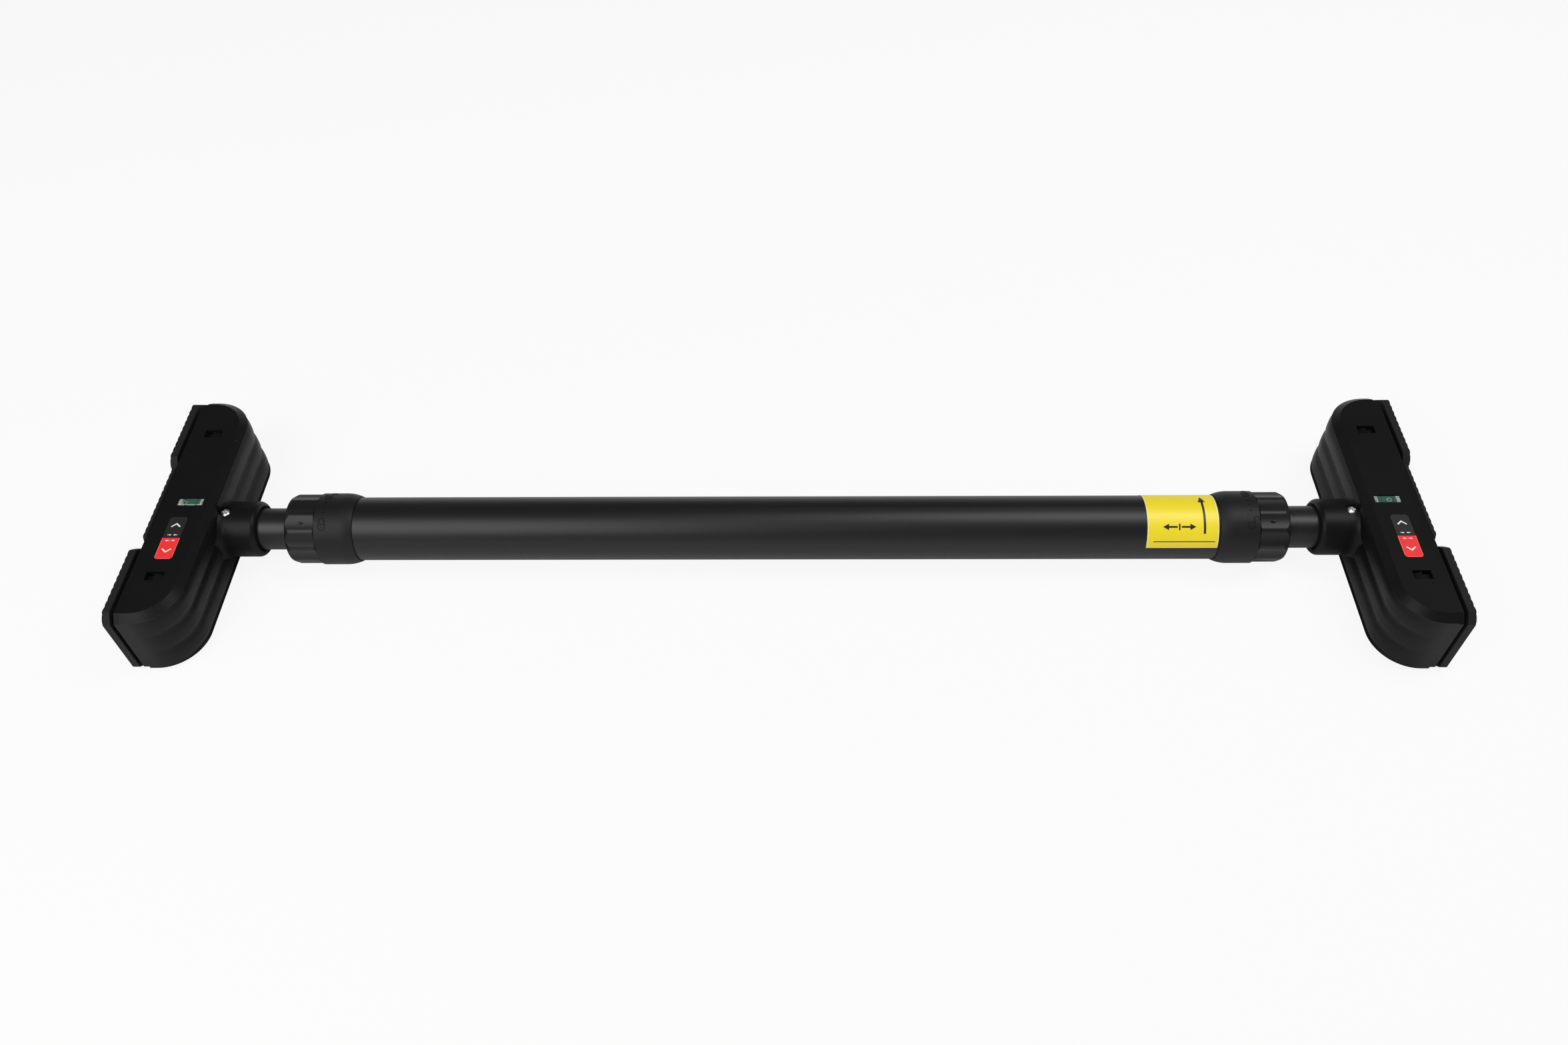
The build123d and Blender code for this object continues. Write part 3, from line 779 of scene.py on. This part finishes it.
# A line of corners filled in with points, so that it can follow a curve
def fillIn(path, spacing=0.4):
    path = np.array(path, float)
    along = np.concatenate([[0], np.cumsum(np.linalg.norm(np.diff(path, axis=0), axis=1))])
    extra = np.linspace(0, along[-1], max(2, int(along[-1] / spacing) + 1))
    at = np.unique(np.round(np.concatenate([along, extra]), 6))
    return np.stack([np.interp(at, along, path[:, i]) for i in range(2)], axis=-1)


# Stroke: a section carried along a path and mitred at the bends.
# The section is listed as (share of half the width, share of the height). Relief has sloping sides.
# Print is flat, with several points across, so that it lies on a curve.
shares = np.linspace(1, -1, 9)
printed = [(share, -1) for share in shares] + [(share, 1) for share in shares[::-1]]
raised = ((1, -0.1), (-1, -0.1), (-0.8, 0.6), (-0.4, 1), (0.4, 1), (0.8, 0.6))


def stroke(place, path, half, height, loops=False, section=printed):
    path = np.array(path, float)
    steps = np.roll(path, -1, axis=0) - path if loops else np.diff(path, axis=0)
    steps = steps / np.linalg.norm(steps, axis=1, keepdims=True)
    before = np.roll(steps, 1, axis=0) if loops else np.concatenate([steps[:1], steps])
    after = steps if loops else np.concatenate([steps, steps[-1:]])
    mitre = (before + after) / (1 + np.sum(before * after, axis=1, keepdims=True))
    offset = np.stack([-mitre[:, 1], mitre[:, 0]], axis=-1) * np.reshape(half, (-1, 1))
    edges = [place(*(path + share * offset).T, lift * height) for share, lift in section]
    return np.stack(edges, axis=1), loops


# Arrow: a plain shaft whose half width jumps at the head and then tapers to the point.
# Its widths are the shaft's and the head's, and then the head's length.
arrowRows = {"spacing": 0.4, "jump": 1e-3, "head": 14, "blunt": 0.01}


def arrow(place, start, tip, widths, height):
    shaft, head, headLength = widths
    start, tip = np.array(start, float), np.array(tip, float)
    length = np.linalg.norm(tip - start)
    neck = length - headLength
    straight = np.arange(0, neck, arrowRows["spacing"])
    pointed = np.linspace(neck, length, arrowRows["head"])
    along = np.concatenate([straight, [neck - arrowRows["jump"]], pointed])
    taper = head / 2 * (length - along) / headLength + arrowRows["blunt"]
    half = np.where(along < neck, shaft / 2, taper)
    path = start + (tip - start) * (along / length)[:, None]
    return stroke(place, path, half, height)


# Print on the yellow label: the turning arrow, a pair of arrows outwards for making longer, and a rule
labelPrint = {
    "film": 0.03,
    "offGrip": 0.2,
    "arrowX": 245.8,
    "from": 141.6,
    "to": 63.6,
    "arrow": (1.3, 4.2, 5.6),
    "signX": 231.2,
    "signAngle": 129.3,
    "sign": (1.1, 3.8, 3.4),
    "signStart": 1.2,
    "signTip": 9.6,
    "barReach": 1.9,
    "barHalf": 0.45,
    "ruleX": 234.3,
    "ruleAngle": 156.0,
    "ruleReach": 17.9,
    "ruleHalf": 0.28,
}


def makeLabelPrint(p):
    radius = gripRadius + p["offGrip"]
    film, start, tip = p["film"], p["signStart"], p["signTip"]
    turned = onTube(radius, p["arrowX"], p["from"])
    climb = math.radians(p["from"] - p["to"]) * radius
    sign = onTube(radius, p["signX"], p["signAngle"])
    rule = onTube(radius, p["ruleX"], p["ruleAngle"])
    grids = [
        arrow(turned, (0, 0), (0, climb), p["arrow"], film),
        arrow(sign, (start, 0), (tip, 0), p["sign"], film),
        arrow(sign, (-start, 0), (-tip, 0), p["sign"], film),
        stroke(sign, fillIn([(0, -p["barReach"]), (0, p["barReach"])]), p["barHalf"], film),
        stroke(rule, fillIn([(-p["ruleReach"], 0), (p["ruleReach"], 0)]), p["ruleHalf"], film),
    ]
    makePiece("label_print", grids, "blackInk", "main_bar")


makeLabelPrint(labelPrint)

# Print on each turn sticker: a chevron at each end, and arrows inwards and outwards beside the split
stickerPrint = {
    "film": 0.03,
    "chevronWide": 2.6,
    "chevronTall": 2.3,
    "line": 0.42,
    "fromEnd": 5.0,
    "sign": (0.35, 1.2, 1.2),
    "signAway": 2.1,
    "signStart": 0.5,
    "signReach": 2.9,
}


def makeStickerPrint(end, p):
    low, high = corners(end + "_turn_label")
    middle = (low + high) / 2
    place = onFace(middle[0], middle[1], high[2])
    film, sign, start = p["film"], p["sign"], p["signStart"]
    top = (high[1] - low[1]) / 2 - p["fromEnd"]
    wide, tall = p["chevronWide"], p["chevronTall"]
    away, reach = p["signAway"], p["signReach"]
    grids = []
    for way in (1, -1):
        chevron = [(-wide, way * (top - tall)), (0, way * top), (wide, way * (top - tall))]
        grids.append(stroke(place, chevron, p["line"], film))
    for way in (1, -1):
        grids.append(arrow(place, (way * reach, away), (way * start, away), sign, film))
        grids.append(arrow(place, (way * start, -away), (way * reach, -away), sign, film))
    makePiece(end + "_turn_print", grids, "whiteInk", end + "_end")


for end in ends:
    makeStickerPrint(end, stickerPrint)
print("labels printed")

# Raised signs on each sleeve: a shut and an open padlock, with chevrons between them.
# Both sleeves are the same moulding, so the near sign is shut at the left and open at the right.
lockSigns = {
    "inFromEnd": 5.6,
    "near": 123.0,
    "far": 62.0,
    "line": 0.32,
    "height": 0.42,
    "wide": 1.95,
    "tall": 1.5,
    "bow": 1.45,
    "bowStart": 2.3,
    "leg": 0.3,
    "freeLeg": 1.5,
    "keyhole": [(0, -1.2), (0, -2.2)],
    "keyholeHeight": 0.8,  # share of the other lines' height
    "chevron": [(-0.8, -0.4), (0, 0.5), (0.8, -0.4)],
    "chevronSpacing": 0.2,
    "around": 25,
}


# Padlock: a body with straight sides and a round bottom, a bow over it, and a short keyhole.
# The open one has its bow moved over, so that only one leg stands in the body.
def padlock(place, p, isOpen):
    wide, tall, bow = p["wide"], p["tall"], p["bow"]
    turn = np.linspace(0, math.pi, p["around"])
    bottom = np.stack([wide * np.cos(turn), -tall - wide * np.sin(turn)], axis=-1)
    body = fillIn(np.concatenate([[(-wide, 0), (wide, 0)], bottom, [(-wide, 0)]]))[:-1]
    arch = np.stack([-bow * np.cos(turn), p["bowStart"] + bow * np.sin(turn)], axis=-1)
    lastLeg = p["freeLeg"] if isOpen else p["leg"]
    shackle = fillIn(np.concatenate([[(-bow, p["leg"])], arch, [(bow, lastLeg)]]))
    if isOpen:
        shackle = shackle + np.array([2 * bow, 0.0])
    keyhole = fillIn(p["keyhole"])
    line, height = p["line"], p["height"]
    return [
        stroke(place, body, line, height, True, raised),
        stroke(place, shackle, line, height, False, raised),
        stroke(place, keyhole, line, height * p["keyholeHeight"], False, raised),
    ]


def makeLockSigns(end, p):
    low, high = corners(end + "_sleeve")
    ring = corners(end + "_lock_ring")
    side = ends[end]
    radius = (high[2] - low[2]) / 2
    x = side * (min(abs(ring[0][0]), abs(ring[1][0])) - p["inFromEnd"])
    grids = padlock(onTube(radius, x, p["near"]), p, end == "right")
    grids += padlock(onTube(radius, x, p["far"]), p, end == "left")
    chevron = fillIn(p["chevron"], p["chevronSpacing"])
    for angle in np.linspace(p["near"], p["far"], 7)[2:-2]:  # the middle three of seven places
        place = onTube(radius, x, angle)
        grids.append(stroke(place, chevron, p["line"], p["height"], False, raised))
    makePiece(end + "_lock_signs", grids, "sleevePlastic", "main_bar", sharp=30)


# Raised drop on one flute of each ring: half width grows as a quarter circle and then tapers to a point
ringMark = {
    "angle": 120.0,
    "inFromEnd": 7.2,
    "length": 3.1,
    "half": 0.85,
    "round": 0.4,  # shares of the length
    "blunt": 0.02,
    "height": 0.5,
    "fluteRadius": 20.56,
    "rows": 24,
}


def makeRingMark(end, m):
    low, high = corners(end + "_lock_ring")
    side = ends[end]
    inner = min(abs(low[0]), abs(high[0]))
    along = np.linspace(m["blunt"], 1, m["rows"])
    nose = np.sqrt(np.clip(1 - (1 - along / m["round"]) ** 2, 0, 1))
    tail = (1 - along) / (1 - m["round"]) + m["blunt"]
    half = m["half"] * np.where(along < m["round"], nose, tail)
    path = np.stack([side * (0.5 - along) * m["length"], 0 * along], axis=-1)
    place = onFlat(m["fluteRadius"], side * (inner + m["inFromEnd"]), m["angle"])
    grids = [stroke(place, path, half, m["height"], False, raised)]
    makePiece(end + "_ring_mark", grids, "ringPlastic", end + "_lock_ring")


for end in ends:
    makeLockSigns(end, lockSigns)
    makeRingMark(end, ringMark)
print("lock signs raised")

# Level: a clear lens over green fluid between two whitish plugs. Each is one section carried along X,
# flat on top and sloping down at the near side. Two dark lines and a painted highlight round the
# bubble's edge lie on the fluid.
level = {
    "wide": 5.3,
    "slope": 1.2,
    "drop": 0.94,
    "lens": 0.16,
    "gap": 0.04,
    "deep": 3.2,
    "linesApart": 6.7,
    "line": 0.5,
    "film": 0.025,
    "bubble": {"left": 3.7, "right": 1.1},  # outwards from the middle
    "bubbleRadius": 1.25,
    "bubbleHighlight": 0.22,
    "around": 40,
}


# Section of (place along the pad, height). A plate's underside slopes as its top does.
def levelBar(p, start, end, top, bottom, plate):
    half = p["wide"] / 2
    bend = p["slope"] - half
    upper = [(half, top), (bend, top), (-half, top - p["drop"])]
    lower = [(-half, bottom), (half, bottom)]
    if plate:
        lower = [(-half, bottom - p["drop"]), (bend, bottom), (half, bottom)]
    y, z = np.array(upper + lower).T
    x = np.array([[start], [end]])
    return np.stack(np.broadcast_arrays(x, y, z), axis=-1), False


def makeLevel(end, p):
    low, high = corners(end + "_vial_plugs")
    fluidLow, fluidHigh = corners(end + "_level_fluid")
    top = corners(end + "_level_vial")[1][2]
    middle = (low[0] + high[0]) / 2
    under = top - p["lens"]
    surface = under - p["gap"]
    floor = surface - p["deep"]
    body = end + "_end"
    lens = [levelBar(p, low[0], high[0], top, under, True)]
    piece = makePiece(end + "_level_lens", lens, "clear_acrylic", body)
    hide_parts(end + "_level_vial")
    fluid = [levelBar(p, fluidLow[0], fluidHigh[0], surface, floor, False)]
    piece = makePiece(end + "_level_liquid", fluid, "green_fluid", body)
    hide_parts(end + "_level_fluid")
    spans = ((low[0], fluidLow[0]), (fluidHigh[0], high[0]))
    plugs = [levelBar(p, *span, surface, floor, False) for span in spans]
    piece = makePiece(end + "_level_plugs", plugs, "white_plastic", body)
    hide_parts(end + "_vial_plugs")
    lines = []
    for way in (-1, 1):
        x = middle + way * p["linesApart"] / 2
        span = (x - p["line"] / 2, x + p["line"] / 2)
        lines.append(levelBar(p, *span, surface + p["film"], surface - p["film"], True))
    makePiece(end + "_level_lines", lines, "blackInk", body)
    # painted highlight: a whitish ring on the fluid round the bubble's edge
    turn = np.linspace(0, 2 * math.pi, p["around"], endpoint=False)
    ring = p["bubbleRadius"] * np.stack([np.cos(turn), np.sin(turn)], axis=-1)
    place = onFace(middle + ends[end] * p["bubble"][end], 0, surface)
    edge = [stroke(place, ring, p["bubbleHighlight"], p["film"], True)]
    makePiece(end + "_bubble_highlight", edge, "white_plastic", body)


for end in ends:
    makeLevel(end, level)
print("levels drawn")
